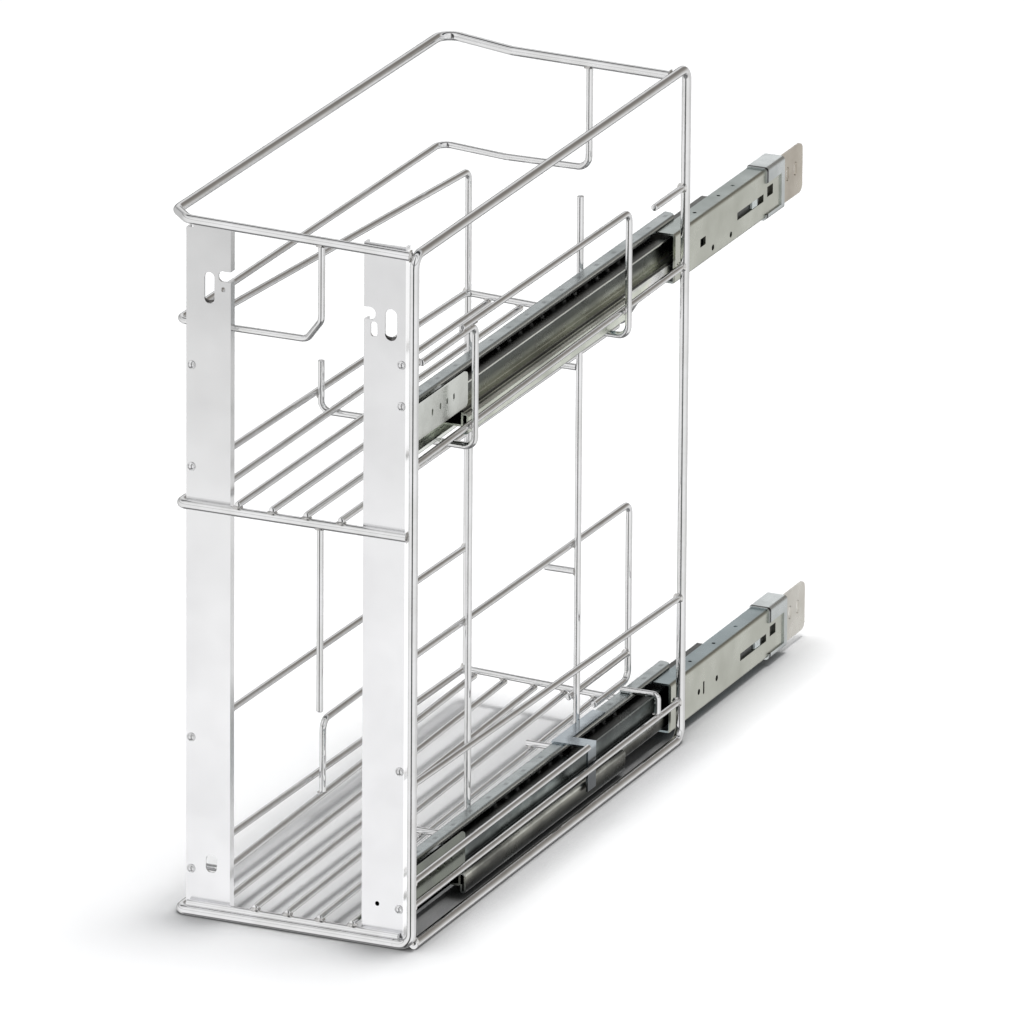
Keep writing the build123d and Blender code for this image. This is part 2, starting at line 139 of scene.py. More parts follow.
# front half: angle round the upright axis, with 0.5 straight ahead of the rack
front_turn = turns_of(tent, way_x, math_node(tent, "MULTIPLY", way_y, -1.0))
front_tone = ramp_node(tent, front_turn, (
    (0.0, 0.5), (0.18, 0.62), (0.27, 0.90), (0.40, 0.97), (0.453, 0.97), (0.468, 0.32),
    (0.478, 0.07), (0.53, 0.07), (0.545, 0.40), (0.565, 0.96), (0.72, 0.95), (0.80, 0.78),
    (0.88, 0.70), (1.0, 0.5)))

# back half: angle round the rack's long axis, with 0.5 to the right
back_turn = turns_of(tent, way_z, way_x)
back_tone = ramp_node(tent, back_turn, (
    (0.0, 0.16), (0.05, 0.20), (0.113, 0.55), (0.20, 0.60), (0.235, 0.08), (0.285, 0.08),
    (0.305, 0.84), (0.386, 0.80), (0.47, (0.60, 0.59, 0.575)), (0.55, (0.36, 0.345, 0.325)),
    (0.613, (0.27, 0.255, 0.235)), (0.71, (0.22, 0.205, 0.19)), (0.775, (0.30, 0.285, 0.27)),
    (0.82, 0.72), (0.90, 0.84), (0.94, 0.76), (0.972, 0.20), (1.0, 0.16)))
BACK_BLEND, BACK_START = 5.0, 0.58  # how sharply the back half begins, and where
behind = math_node(tent, "MULTIPLY_ADD", way_y, BACK_BLEND, -BACK_BLEND * BACK_START, clamp=True)
mirrored = mix_node(tent, behind, front_tone, back_tone)

# thin dark seams that the wires across the rack mirror: overhead, ahead and underfoot
SEAM_TONE = (0.05, 0.052, 0.055)
rise = math_node(tent, "MULTIPLY_ADD", way_z, 0.5, 0.5)
depth = math_node(tent, "MULTIPLY_ADD", way_y, 0.5, 0.5)
high_up = ramp_node(tent, rise, ((0.79, 0.0), (0.84, 1.0)))
overhead = math_node(tent, "MULTIPLY", high_up, ramp_node(tent, depth, (
    (0.36, 0.0), (0.39, 0.55), (0.43, 0.55), (0.46, 0.0), (0.53, 0.0), (0.58, 1.0), (0.70, 1.0),
    (0.76, 0.0))))
level_seams = ramp_node(tent, rise, (
    (0.0, 0.8), (0.07, 0.8), (0.12, 0.0), (0.60, 0.0), (0.63, 0.5), (0.66, 0.5), (0.69, 0.0)))
in_front = math_node(tent, "MULTIPLY", level_seams, math_node(tent, "SUBTRACT", 1.0, behind))
seams = math_node(tent, "MAXIMUM", overhead, in_front)
mirrored = mix_node(tent, seams, mirrored, SEAM_TONE)

SOFT_COLOUR, SOFT_LEVEL = (0.98, 0.99, 1.0, 1.0), 0.36
soft = add_node(tent, "ShaderNodeBackground")
soft.inputs["Color"].default_value = SOFT_COLOUR
soft.inputs["Strength"].default_value = SOFT_LEVEL
backdrop = add_node(tent, "ShaderNodeBackground")
backdrop.inputs["Color"].default_value = (1.0, 1.0, 1.0, 1.0)
backdrop.inputs["Strength"].default_value = 1.0
glossy = add_node(tent, "ShaderNodeBackground")
glossy.inputs["Strength"].default_value = 1.0
tent.links.new(mirrored, glossy.inputs["Color"])
rays = add_node(tent, "ShaderNodeLightPath").outputs
light = shader_mix(tent, rays["Is Glossy Ray"], soft.outputs[0], glossy.outputs[0])
seen = math_node(tent, "MAXIMUM", rays["Is Camera Ray"], rays["Is Transmission Ray"])
light = shader_mix(tent, seen, light, backdrop.outputs[0])
tent.links.new(light, add_node(tent, "ShaderNodeOutputWorld").inputs["Surface"])

# ---------------------------------------------------------------------------
# Lamp: one broad round soft box high over the rack, a little to the right and
# behind it, so that the soft shadow falls to the front left.

LAMP_PLACE, LAMP_WIDTH, LAMP_POWER = (0.4, 0.4, 6.0), 2.4, 262.0
lamp_data = bpy.data.lights.new("broad_lamp", "AREA")
lamp_data.shape, lamp_data.size, lamp_data.energy = "DISK", LAMP_WIDTH, LAMP_POWER
lamp = bpy.data.objects.new("broad_lamp", lamp_data)
facing_down = Vector(LAMP_PLACE).to_track_quat("Z", "Y").to_matrix().to_4x4()
lamp.matrix_world = Matrix.Translation(LAMP_PLACE) @ facing_down
lamp.visible_glossy = False
bpy.context.scene.collection.objects.link(lamp)

# ---------------------------------------------------------------------------
# Floor: a pale matt board, very slightly mottled. Besides the lamp's shadow, a
# painted shade darkens its colour close under the rack; it lifts to white elsewhere.

FLOOR_WIDTH, MOTTLE_SCALE = 14.0, 3.0
FLOOR_TONES = ((0.3, (0.84, 0.84, 0.845)), (0.7, (0.865, 0.865, 0.865)))
FLOOR_LIFT = (0.28, 0.28, 0.28)
PAINTED_SHADE_REACH, PAINTED_SHADE_SAMPLES = 0.06, 12
bpy.ops.object.select_all(action="DESELECT")
bpy.ops.mesh.primitive_plane_add(size=FLOOR_WIDTH, location=(0, 0, 0))
floor = bpy.context.object
floor.name = "pale_floor"
floor_paint = bpy.data.materials.new("pale_floor")
floor_paint.use_nodes = True
tree = floor_paint.node_tree
tree.nodes.clear()
mottle = add_node(tree, "ShaderNodeTexNoise")
mottle.inputs["Scale"].default_value = MOTTLE_SCALE
tree.links.new(add_node(tree, "ShaderNodeTexCoord").outputs["Object"], mottle.inputs["Vector"])
# painted shade: ambient occlusion darkens the floor's colour close under the rack
painted_floor_shade = add_node(tree, "ShaderNodeAmbientOcclusion", samples=PAINTED_SHADE_SAMPLES)
painted_floor_shade.inputs["Distance"].default_value = PAINTED_SHADE_REACH
tree.links.new(ramp_node(tree, mottle.outputs["Fac"], FLOOR_TONES), painted_floor_shade.inputs["Color"])
matt = add_node(tree, "ShaderNodeBsdfDiffuse")
tree.links.new(painted_floor_shade.outputs["Color"], matt.inputs["Color"])
lifted = mix_node(tree, 1.0, painted_floor_shade.outputs["Color"], FLOOR_LIFT, "MULTIPLY")
extra = add_node(tree, "ShaderNodeBsdfDiffuse")
tree.links.new(lifted, extra.inputs["Color"])
total = add_node(tree, "ShaderNodeAddShader")
tree.links.new(matt.outputs[0], total.inputs[0])
tree.links.new(extra.outputs[0], total.inputs[1])
rays = add_node(tree, "ShaderNodeLightPath").outputs
shown = shader_mix(tree, rays["Is Camera Ray"], matt.outputs[0], total.outputs[0])
tree.links.new(shown, add_node(tree, "ShaderNodeOutputMaterial").inputs["Surface"])
floor.data.materials.append(floor_paint)
floor.visible_glossy = False

# ---------------------------------------------------------------------------
# Wire frame: drawn steel wire, 7 mm for the side frame, the top loop, the bottom
# front wire and the shelf's front wire, and 5 mm for the rest. It is bent cold,
# resistance welded at each crossing, and plated with bright nickel and chrome as
# one piece.


def group_of(name, inputs, outputs):
    """A new shader node group, with what its input node gives and its output node takes."""
    group = bpy.data.node_groups.new(name, "ShaderNodeTree")
    for label, value in inputs:
        kind = "NodeSocketColor" if isinstance(value, tuple) else "NodeSocketFloat"
        socket = group.interface.new_socket(label, in_out="INPUT", socket_type=kind)
        socket.default_value = value + (1.0,) if isinstance(value, tuple) else value
    for label, kind in outputs:
        group.interface.new_socket(label, in_out="OUTPUT", socket_type=kind)
    given = add_node(group, "NodeGroupInput").outputs
    return group, given, add_node(group, "NodeGroupOutput").inputs


def noise_in(tree, scale, vector, detail=2.0, rough=0.5):
    node = add_node(tree, "ShaderNodeTexNoise")
    node.inputs["Detail"].default_value = detail
    node.inputs["Roughness"].default_value = rough
    if isinstance(scale, (int, float)):
        node.inputs["Scale"].default_value = scale
    else:
        tree.links.new(scale, node.inputs["Scale"])
    tree.links.new(vector, node.inputs["Vector"])
    return node.outputs["Fac"]


# slow cloudiness of a plated surface, fine specks, and a slight ripple
CLOUD_CONTRAST, CLOUD_START, CLOUD_DULLING = 2.6, -0.85, 0.8
SPECK_REACH, SPECK_CONTRAST, SPECK_ROUGHENING, SPECK_DEPTH = 0.9, 9.0, 0.25, -0.15
plating, given, gives = group_of("plating_wear", (
    ("Clean", (0.80, 0.81, 0.82)), ("Dull", (0.60, 0.60, 0.59)), ("Speck", (0.20, 0.19, 0.18)),
    ("Cloud size", 30.0), ("Speck size", 900.0), ("Speck cover", 0.25),
    ("Smooth", 0.06), ("Rough", 0.20), ("Ripple size", 160.0)), (
    ("Color", "NodeSocketColor"), ("Roughness", "NodeSocketFloat"),
    ("Height", "NodeSocketFloat")))
place = add_node(plating, "ShaderNodeTexCoord").outputs["Object"]
cloud = noise_in(plating, given["Cloud size"], place, 4.0, 0.6)
cloud = math_node(plating, "MULTIPLY_ADD", cloud, CLOUD_CONTRAST, CLOUD_START, clamp=True)
speck = noise_in(plating, given["Speck size"], place, 1.0)
edge = math_node(plating, "SUBTRACT", 1.0, math_node(
    plating, "MULTIPLY", given["Speck cover"], SPECK_REACH))
speck = math_node(plating, "MULTIPLY", math_node(plating, "SUBTRACT", speck, edge),
                  SPECK_CONTRAST, clamp=True)
dulled = math_node(plating, "MULTIPLY", cloud, CLOUD_DULLING)
tone = mix_node(plating, dulled, given["Clean"], given["Dull"])
plating.links.new(mix_node(plating, speck, tone, given["Speck"]), gives["Color"])
span = math_node(plating, "SUBTRACT", given["Rough"], given["Smooth"])
rough = math_node(plating, "MULTIPLY_ADD", cloud, span, given["Smooth"])
rough = math_node(plating, "MULTIPLY_ADD", speck, SPECK_ROUGHENING, rough)
plating.links.new(rough, gives["Roughness"])
ripple = noise_in(plating, given["Ripple size"], place, 3.0, 0.55)
ripple = math_node(plating, "MULTIPLY_ADD", speck, SPECK_DEPTH, ripple)
plating.links.new(ripple, gives["Height"])


def plated(name, clean, dull, speck=(0.20, 0.19, 0.18), cloud=30.0, specks=900.0, cover=0.25,
           smooth=0.06, rough=0.20, ripple=160.0, bump=0.00006, metal=1.0):
    """A finish with the plating's wear. smooth and rough are its least and most roughness."""
    paint = bpy.data.materials.new(name)
    paint.use_nodes = True
    tree = paint.node_tree
    shader = tree.nodes["Principled BSDF"]
    shader.inputs["Metallic"].default_value = metal
    wear = add_node(tree, "ShaderNodeGroup", node_tree=plating)
    for label, value in (("Clean", clean), ("Dull", dull), ("Speck", speck)):
        wear.inputs[label].default_value = value + (1.0,)
    for label, value in (("Cloud size", cloud), ("Speck size", specks), ("Speck cover", cover),
                         ("Smooth", smooth), ("Rough", rough), ("Ripple size", ripple)):
        wear.inputs[label].default_value = value
    tree.links.new(wear.outputs["Color"], shader.inputs["Base Color"])
    tree.links.new(wear.outputs["Roughness"], shader.inputs["Roughness"])
    relief = add_node(tree, "ShaderNodeBump")
    relief.inputs["Distance"].default_value = bump
    tree.links.new(wear.outputs["Height"], relief.inputs["Height"])
    tree.links.new(relief.outputs[0], shader.inputs["Normal"])
    return paint


def paint_nodes(paint, *names):
    for name in names:
        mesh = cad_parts[name].data
        mesh.materials.clear()
        mesh.materials.append(paint)


wire_chrome = plated("wire_chrome", (0.86, 0.86, 0.87), (0.72, 0.72, 0.71),
                     speck=(0.35, 0.33, 0.31), smooth=0.02, rough=0.06, ripple=120.0, bump=0.0001)
bent_wires = (
    "bottom_front_wire", "cross_support", "divider_hoop", "front_hoop", "front_stop_wire",
    "guard_link", "hanger_front", "hanger_peg", "hanger_rear", "inner_guard", "keeper_wire",
    "low_rail_long", "low_rail_short", "lower_floor_edge", "lower_front_wire",
    "lower_guard_rail", "lower_left_rail", "lower_rear_tie", "post_stub", "rear_hoop",
    "right_side_frame", "rod_ties", "shelf_front_wire", "top_wire", "under_slide_rail",
    "upper_left_guard", "upper_shelf_edge")
UPPER_ROD_XS = (27.0, 54.5, 82.0, 109.5, 137.0)
LOWER_ROD_XS = (17.0, 43.0, 69.0, 95.0, 121.0, 147.0)
paint_nodes(wire_chrome, *bent_wires)
paint_nodes(wire_chrome, *["lower_rod_%d" % (k + 1) for k in range(len(LOWER_ROD_XS))])
paint_nodes(wire_chrome, *["upper_rod_%d" % (k + 1) for k in range(len(UPPER_ROD_XS))])

# ---------------------------------------------------------------------------
# Weld lumps: where two wires cross, the current leaves a small puddle squeezed
# out round the contact. It is plated with the wire, so it shines like it.

UP, DOWN, LEFT, RIGHT, BACK, FRONT = (
    (0, 0, 1), (0, 0, -1), (-1, 0, 0), (1, 0, 0), (0, 1, 0), (0, -1, 0))
ROW_ORIGIN = (96.2, 374.75, -5.0)  # working millimetres, from the wires' front left corner
CREASE = math.radians(50)  # sharper edges than this stay sharp


def in_row(x, y, z):
    """A point in working millimetres, in metres in the row frame."""
    return Vector([(value - zero) / 1000 for value, zero in zip((x, y, z), ROW_ORIGIN)])


def pick(piece, test):
    """Selects the vertices of the piece in edit mode that pass the test."""
    bpy.ops.mesh.select_mode(type="VERT")
    bpy.ops.mesh.select_all(action="DESELECT")
    mesh = bmesh.from_edit_mesh(piece.data)
    for vertex in mesh.verts:
        vertex.select_set(test(vertex))
    mesh.select_flush_mode()
    bmesh.update_edit_mesh(piece.data)


def start_piece(name, paint):
    """Takes the new primitive, names it, gives it its finish and opens it for editing."""
    piece = bpy.context.object
    piece.name = piece.data.name = name
    piece.data.materials.append(paint)
    bpy.ops.object.mode_set(mode="EDIT")
    return piece


def stack_rings(rings):
    """Extrudes the selected face upwards once for each (rise, narrowing)."""
    for rise, narrow in rings:
        bpy.ops.mesh.extrude_region_move(TRANSFORM_OT_translate={"value": (0, 0, rise)})
        bpy.ops.transform.resize(value=(narrow, narrow, 1.0))


def close_piece(piece):
    """Turns the faces outwards, leaves edit mode and smooths all but the sharp edges."""
    bpy.ops.mesh.select_all(action="SELECT")
    bpy.ops.mesh.normals_make_consistent(inside=False)
    bpy.ops.object.mode_set(mode="OBJECT")
    bpy.ops.object.select_all(action="DESELECT")
    piece.select_set(True)
    bpy.context.view_layer.objects.active = piece
    bpy.ops.object.shade_smooth_by_angle(angle=CREASE)


def copies_of(pattern, name, places):
    """Copies of one finished pattern, each with its own mesh, joined into one piece of the rack.
    A place is a point in working millimetres, the way the top looks, and the size in x, y, z."""
    made = []
    for point, looks, size in places:
        copy = pattern.copy()
        copy.data = pattern.data.copy()
        turn = Vector(looks).to_track_quat("Z", "Y").to_matrix().to_4x4()
        grow = Matrix.Diagonal(Vector(size).to_4d())
        copy.data.transform(Matrix.Translation(in_row(*point)) @ turn @ grow)
        bpy.context.scene.collection.objects.link(copy)
        made.append(copy)
    bpy.ops.object.select_all(action="DESELECT")
    for copy in made:
        copy.select_set(True)
    bpy.context.view_layer.objects.active = made[0]
    bpy.ops.object.join()
    whole = bpy.context.object
    whole.name = whole.data.name = name
    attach(whole, "rack")
    return whole


weld_chrome = plated("weld_chrome", (0.80, 0.79, 0.78), (0.55, 0.54, 0.52),
                     speck=(0.16, 0.15, 0.14), cloud=260.0, specks=1500.0, cover=0.34,
                     smooth=0.04, rough=0.16, ripple=700.0, bump=0.0002)

# a squashed ball, 2 mm across, with a flared waist, a flattened crown and one drawn-out side
bpy.ops.object.select_all(action="DESELECT")
bpy.ops.mesh.primitive_uv_sphere_add(segments=9, ring_count=6, radius=0.001, location=(0, 0, 0))
lump = start_piece("weld_lump", weld_chrome)
pick(lump, lambda v: abs(v.co.z) < 0.0002)
bpy.ops.transform.resize(value=(1.3, 1.3, 1.0))
pick(lump, lambda v: v.co.z > 0.00075)
bpy.ops.transform.resize(value=(0.8, 0.8, 0.8), center_override=(0, 0, 0))
pick(lump, lambda v: v.co.x > 0.0006)
bpy.ops.transform.translate(value=(0.00018, 0.0001, -0.0001))
close_piece(lump)

# the rods rise or fall a little from front to back, and end on a back wire that slants
ROD_LENGTH, BACK_SLANT = 508.0, 14.0
UPPER_ROD_FRONT_Z, UPPER_ROD_BACK_Z, LOWER_ROD_FRONT_Z, LOWER_ROD_BACK_Z = 319.4, 316.6, 9.38, 16.3
LEFT_X, HANGER_X, HANGER_YS, CROSS_Y = 9.0, 157.6, (181.0, 381.0), 234
LEFT_STRIP_EDGE = 47  # rods left of it stop behind the strip, where no front end shows
ROD_TO_HANGER = 2.4


def back_y(x):
    return ROD_LENGTH - (x - LEFT_X) * BACK_SLANT / (HANGER_X - LEFT_X)


def upper_rod_z(y):
    return UPPER_ROD_FRONT_Z + (UPPER_ROD_BACK_Z - UPPER_ROD_FRONT_Z) * y / ROD_LENGTH


def lower_rod_z(y):
    return LOWER_ROD_FRONT_Z + (LOWER_ROD_BACK_Z - LOWER_ROD_FRONT_Z) * y / ROD_LENGTH


rod_welds = []
for x in UPPER_ROD_XS:
    if x > LEFT_STRIP_EDGE:
        rod_welds.append(((x, -0.1, 317.6), UP, (3.0, 2.6, 2.1)))
    rod_welds.append(((x, back_y(x), 319.2), UP, (2.2, 1.9, 1.3)))
for x in LOWER_ROD_XS:
    if x > LEFT_STRIP_EDGE:
        rod_welds.append(((x, 0.0, 8.1), UP, (3.1, 2.65, 2.8)))
    rod_welds.append(((x, back_y(x), 18.8), UP, (2.3, 2.0, 1.4)))
tie_size = (2.1, 2.1, 1.2)
for x in UPPER_ROD_XS[:3]:
    rod_welds.append(((x, CROSS_Y, upper_rod_z(CROSS_Y) - ROD_TO_HANGER), UP, tie_size))
for y in HANGER_YS:
    for x in UPPER_ROD_XS[3:]:
        rod_welds.append(((x, y, upper_rod_z(y) + ROD_TO_HANGER), UP, tie_size))
    for x in LOWER_ROD_XS[4:]:
        rod_welds.append(((x, y, lower_rod_z(y) + ROD_TO_HANGER), UP, tie_size))
copies_of(lump, "rod_welds", rod_welds)

# rails, hoops and front wires on the right side frame
side_welds = []
for y, z in ((3.4, 368.6), (489.6, 373.4), (3.4, 122.4), (489.6, 111.1), (3.4, 46.5),
             (3.4, 28.0), (489.6, 28.0), (489.6, 435.5)):
    side_welds.append(((193.2, y, z), BACK, (3.1, 3.0, 1.5)))
for y, z in ((100, 369.6), (379, 372.4)):
    side_welds.append(((195.4, y, z), RIGHT, (2.6, 2.4, 1.4)))
for y in (77.5, 88.0, 98.5):
    side_welds.append(((197.9, y, 449.9), UP, (1.85, 2.6, 1.4)))
side_welds += [
    ((196.0, 3.6, 447.5), RIGHT, (2.6, 2.4, 1.6)),
    ((193.4, 452, 30.9), UP, (3.0, 2.8, 1.3)),
    ((190.4, 0.9, 528.5), RIGHT, (3.3, 3.7, 1.6)),
    ((190.6, 470, 528.5), RIGHT, (3.9, 3.7, 1.6)),
    ((188.6, 0.9, 313.5), RIGHT, (3.3, 3.4, 1.5)),
    ((194, 4.4, 0.4), BACK, (3.5, 3.5, 1.6)),
    ((180.0, 1.0, -0.8), RIGHT, (3.2, 3.1, 1.2)),
    ((190.2, 1.2, 313.9), RIGHT, (2.6, 2.8, 2.0))]
copies_of(lump, "side_frame_welds", side_welds)

# hangers, guards and the left wires
hanger_welds = []
for y in HANGER_YS:
    for z in (392, 362, 38, 6):
        hanger_welds.append(((159.6, y - 2.0, z), RIGHT, (2.4, 1.8, 1.4)))
    guard_z = 187.5 - (y - 10) * 6.5 / 478  # the guard rail falls 6.5 over its 478 mm
    hanger_welds.append(((155.2, y, guard_z), RIGHT, (2.3, 2.3, 1.2)))
hanger_welds += [
    ((155.3, 381, 161.5), RIGHT, (2.7, 2.7, 1.3)),
    ((159.6, 492.0, 362), RIGHT, (2.4, 1.8, 1.4)),
    ((120.5, 0, 526.6), UP, (3.0, 2.6, 1.6)),
    ((124, 473, 525.2), UP, (3.0, 3.2, 1.5)),
    ((120, 0, 310.2), UP, (3.0, 2.6, 1.5)),
    ((9.2, 508.6, 118), BACK, (2.7, 2.7, 1.5)),
    ((9, 509.4, 21.4), BACK, (2.7, 2.9, 1.6)),
    ((9, 509.4, 321.6), BACK, (2.6, 2.8, 1.6)),
    ((11.4, CROSS_Y, 325.9), RIGHT, (2.4, 2.4, 1.3)),
    ((17, 232, 14.3), UP, (2.9, 2.9, 1.3)),
    ((17, 352, 16.0), UP, (2.9, 2.9, 1.3)),
    ((155.2, 381, 62.5), RIGHT, (2.3, 2.3, 1.2)),
    ((152.7, 484.6, 62.5), BACK, (2.6, 2.6, 1.4))]
copies_of(lump, "hanger_and_guard_welds", hanger_welds)
bpy.data.objects.remove(lump)

# ---------------------------------------------------------------------------
# Wire ends: sheared, then tumbled before plating, so each cut is a low dome.
# One dome is pressed over each free end of the frame's wires and rods.

bpy.ops.object.select_all(action="DESELECT")
bpy.ops.mesh.primitive_circle_add(vertices=16, radius=0.001, fill_type="NGON",
                                  location=(0, 0, -0.00004))
end_dome = start_piece("end_dome", wire_chrome)
stack_rings(((0.00008, 0.985), (0.0001, 0.93), (0.00009, 0.83), (0.00006, 0.62),
             (0.00003, 0.4)))
close_piece(end_dome)

THIN, THICK = 2.5, 3.5  # radii of the two wires
ends = []
for rod_xs, rod_z in ((UPPER_ROD_XS, upper_rod_z), (LOWER_ROD_XS, lower_rod_z)):
    for x in rod_xs:
        if x > LEFT_STRIP_EDGE:
            ends.append(((x, -1.0, rod_z(-1)), FRONT, THIN))
        ends.append(((x, back_y(x) + 2, rod_z(back_y(x) + 2)), BACK, THIN))
ends += [
    ((HANGER_X, 181, 420), UP, THIN), ((HANGER_X, 381, 456), UP, THIN),
    ((120, 0, 170), DOWN, THIN), ((13.9, CROSS_Y, 352), UP, THIN), ((131.6, 381, 161.5), LEFT, THIN),
    ((193, 322, 46.5), BACK, THIN), ((193, 437, 435.5), FRONT, THIN),
    ((197.9, 76, 452.4), FRONT, THIN), ((197.9, 4.5, 447.5), FRONT, THIN),
    ((152.7, 425, 41), FRONT, THIN), ((152.7, 377, 62.5), FRONT, THIN),
    ((6.6, 16, -1.5), BACK, THICK), ((7.2, 13, 313.5), BACK, THICK),
    ((150, 100, 353.1), LEFT, THIN), ((14, 0, 4.48), LEFT, THIN)]
copies_of(end_dome, "wire_end_domes",
          [(point, looks, (radius, radius, radius)) for point, looks, radius in ends])
bpy.data.objects.remove(end_dome)

# ---------------------------------------------------------------------------
# Front strips: folded sheet, plated to a satin near white, which the cabinet door
# is hooked to. A painted reflection makes them greyer towards the top, painted
# light makes the right strip paler, and a painted highlight glows on each right edge.

ACROSS, ALONG, HEIGHT = 0, 1, 2


def object_part(tree, axis):
    """The object's own x, y or z, in metres."""
    split = add_node(tree, "ShaderNodeSeparateXYZ")
    tree.links.new(add_node(tree, "ShaderNodeTexCoord").outputs["Object"], split.inputs[0])
    return split.outputs[axis]


def axis_band(tree, axis, stops):
    """Tones along one axis. stops are (place in working millimetres, tone), low to high."""
    places = [(place - ROW_ORIGIN[axis]) / 1000 for place, _ in stops]
    low, high = places[0], places[-1]
    where = math_node(tree, "MULTIPLY_ADD", object_part(tree, axis), 1 / (high - low),
                      -low / (high - low), clamp=True)
    return ramp_node(tree, where, [((place - low) / (high - low), tone)
                                   for place, (_, tone) in zip(places, stops)])


def colour_of(paint):
    """The finish's nodes, its shader's colour socket, and what feeds that socket so far."""
    socket = paint.node_tree.nodes["Principled BSDF"].inputs["Base Color"]
    return paint.node_tree, socket, socket.links[0].from_socket


strip_plate = plated("strip_plate", (0.955, 0.955, 0.97), (0.90, 0.90, 0.915), cloud=14.0,
                     cover=0.22, smooth=0.16, rough=0.26, ripple=60.0, bump=0.00004)
tree, socket, plain = colour_of(strip_plate)
# painted reflection: the strips are painted greyer towards the top, where they mirror the room
painted_reflection_tone = axis_band(tree, HEIGHT, ((15, (1.0, 1.0, 1.0)), (193.5, (0.99, 0.99, 0.985)),
                                (372, (0.86, 0.86, 0.85)), (525, (0.70, 0.70, 0.69))))
# painted light: the right strip is painted paler
painted_light_right = axis_band(tree, ACROSS, ((50, 0.0), (140, 0.38)))
painted_reflection_tone = mix_node(tree, painted_light_right, painted_reflection_tone, (1.0, 1.0, 1.0))
tree.links.new(mix_node(tree, 1.0, plain, painted_reflection_tone, "MULTIPLY"), socket)
# painted highlight: an emission makes the sheared right edge of each strip glow
painted_edge_highlight = axis_band(tree, ACROSS, (
    (46.2, 0.0), (46.45, 0.26), (46.7, 0.0), (185.7, 0.0), (185.95, 0.34)))
shader = tree.nodes["Principled BSDF"]
tree.links.new(painted_edge_highlight, shader.inputs["Emission Color"])
shader.inputs["Emission Strength"].default_value = 1.0
paint_nodes(strip_plate, "left_strip", "right_strip")

# ---------------------------------------------------------------------------
# Slot lips: the sheet at the foot of each hook slot is drawn inwards as it is
# punched. That leaves a crescent, painted dark all over as the shade where it
# turns away from the light.

# painted shade: the lip's finish is dark
slot_lip_painted_shade = plated("slot_lip_painted_shade", (0.16, 0.155, 0.15), (0.06, 0.06, 0.06), speck=(0.7, 0.7, 0.7),
                  cloud=420.0, smooth=0.08, rough=0.25, ripple=900.0, bump=0.0002)
bpy.ops.object.select_all(action="DESELECT")
bpy.ops.mesh.primitive_circle_add(vertices=24, radius=0.001, fill_type="NOTHING",
                                  location=(0, 0, 0))
lip = start_piece("slot_lip_painted_shade", slot_lip_painted_shade)
pick(lip, lambda v: v.co.y > 0.00001)
bpy.ops.transform.resize(value=(1.0, -0.42, 1.0), center_override=(0, 0, 0))
bpy.ops.mesh.select_all(action="SELECT")
bpy.ops.mesh.edge_face_add()
bpy.ops.mesh.extrude_region_move(TRANSFORM_OT_translate={"value": (0, 0, 0.0001)})
bpy.ops.transform.resize(value=(0.97, 0.97, 1.0))
bpy.ops.mesh.extrude_region_move(TRANSFORM_OT_translate={"value": (0, -0.00008, -0.00005)})
bpy.ops.transform.resize(value=(0.8, 0.8, 1.0))
close_piece(lip)
copies_of(lip, "slot_lips", [((29.5, 4.4, 473.2), FRONT, (4.0, 4.0, 4.0)),
                             ((174, 4.4, 465.8), FRONT, (4.8, 4.8, 4.8))])
bpy.data.objects.remove(lip)

# ---------------------------------------------------------------------------
# Weld buttons: dished steel studs that hold the side wires to the strips. Each
# is fused to the strip's face and plated with it.

BUTTON_HEIGHTS = {15.0: (420, 342, 132.5, 30), 182.3: (443.5, 412, 131, 24)}
button_steel = plated("button_steel", (0.85, 0.85, 0.86), (0.6, 0.6, 0.6), cloud=300.0,
                      smooth=0.03, rough=0.10, ripple=600.0, bump=0.0001)
bpy.ops.object.select_all(action="DESELECT")
bpy.ops.mesh.primitive_circle_add(vertices=20, radius=0.0034, fill_type="NGON",
                                  location=(0, 0, 0))
button = start_piece("button", button_steel)
stack_rings(((0.0005, 1.0), (0.00035, 0.93), (0.00005, 0.82), (-0.0003, 0.9), (0.0001, 0.9),
             (0.00045, 0.8), (0.0003, 0.72), (0.00012, 0.5)))
close_piece(button)
buttons = copies_of(button, "weld_buttons", [
    ((x, 3.5, z), FRONT, (1.0, 1.0, 1.0)) for x, heights in BUTTON_HEIGHTS.items()
    for z in heights])
bpy.data.objects.remove(button)
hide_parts("strip_buttons")

# ---------------------------------------------------------------------------
# Rack channels: rolled sheet, zinc plated with a film of grease, welded to the
# hangers. The flange on top has a row of pressed dents, painted as dark spots of
# shade. Painted shade darkens the inside, and the lip and the top flange are
# painted lighter and darker by how they face the light.

SLIDE_Z = {"upper": 378.0, "lower": 21.0}  # the height of each slide's middle line


def tinted(paint, axis, stops, right_of=None):
    """Multiplies a finish's colour by bands along one axis, only right of the x right_of if
    that is given."""
    tree, socket, plain = colour_of(paint)
    banded = mix_node(tree, 1.0, plain, axis_band(tree, axis, stops), "MULTIPLY")
    if right_of:
        right_side = axis_band(tree, ACROSS, ((right_of - 0.2, 0.0), (right_of + 0.2, 1.0)))
        banded = mix_node(tree, right_side, plain, banded)
    tree.links.new(banded, socket)


def marked(paint, mask, colour):
    """Lays a second colour over a finish where the mask is 1."""
    tree, socket, plain = colour_of(paint)
    tree.links.new(mix_node(tree, mask, plain, colour), socket)


def every(tree, axis, start, pitch, width):
    """1 in a short stretch round each place along the axis, 0 between. All in millimetres."""
    softness = 6.0
    where = math_node(tree, "MULTIPLY_ADD", object_part(tree, axis), 1000 / pitch,
                      (ROW_ORIGIN[axis] - start) / pitch + 0.5)
    off = math_node(tree, "SUBTRACT", math_node(tree, "FRACT", where), 0.5)
    off = math_node(tree, "ABSOLUTE", off)
    return math_node(tree, "MULTIPLY_ADD", off, -softness, softness * width / pitch / 2 + 0.5,
                     clamp=True)
